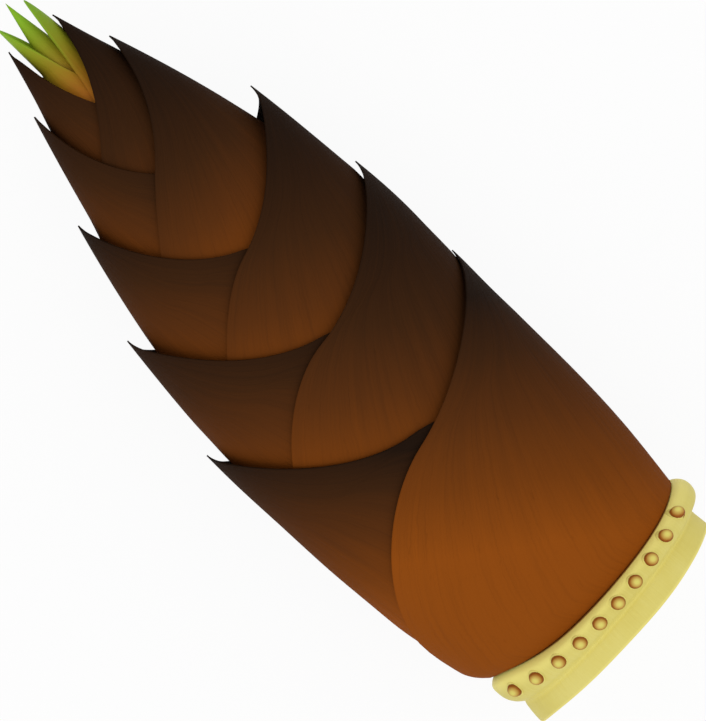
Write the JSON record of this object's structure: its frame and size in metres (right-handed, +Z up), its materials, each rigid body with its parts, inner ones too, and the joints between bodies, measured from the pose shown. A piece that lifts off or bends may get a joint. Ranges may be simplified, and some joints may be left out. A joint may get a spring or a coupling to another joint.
{
  "type": "bamboo shoot",
  "caption": "Whole fresh bamboo shoot lying on its side: cream stump with a ring of root buds, overlapping pointed brown sheaths on alternate sides and green leaf tips",
  "frame": {"origin": "on the resting surface, under the middle of the shoot's box", "axes": "+Y along the shoot from the cut base to the tip, +X to the side on which the outermost sheath has its tip, +Z up from the surface"},
  "size_m": [0.1082, 0.3012, 0.0967],
  "materials": {
    "stump": "fresh cream-yellow flesh of the stump, finely fibrous, slightly moist satin",
    "sheath": "leathery culm sheath, rich brown at its foot and near black at its tip and margin, fine parallel veins, satin",
    "green_leaf": "young leaf, bright green at its point and orange brown at its foot, fine veins, satin",
    "root_bud": "small domed root bud with a brown rim and a straw-yellow middle, satin"
  },
  "bodies": {
    "root": {"culm": "stump", "sheath_right_1": "sheath", "sheath_left_1": "sheath", "sheath_right_2": "sheath", "sheath_left_2": "sheath", "sheath_right_3": "sheath", "sheath_left_3": "sheath", "sheath_right_4": "sheath", "sheath_left_4": "sheath", "sheath_right_5": "sheath", "sheath_left_5": "sheath", "leaf_left": "green_leaf", "leaf_right": "green_leaf", "leaf_spear": "green_leaf", "root_bud_01": "root_bud", "root_bud_02": "root_bud", "root_bud_03": "root_bud", "root_bud_04": "root_bud", "root_bud_05": "root_bud", "root_bud_06": "root_bud", "root_bud_07": "root_bud", "root_bud_08": "root_bud", "root_bud_09": "root_bud", "root_bud_10": "root_bud", "root_bud_11": "root_bud", "root_bud_12": "root_bud", "root_bud_13": "root_bud", "root_bud_14": "root_bud", "root_bud_15": "root_bud", "root_bud_16": "root_bud", "root_bud_17": "root_bud", "root_bud_18": "root_bud", "root_bud_19": "root_bud", "root_bud_20": "root_bud"}
  },
  "joints": []
}
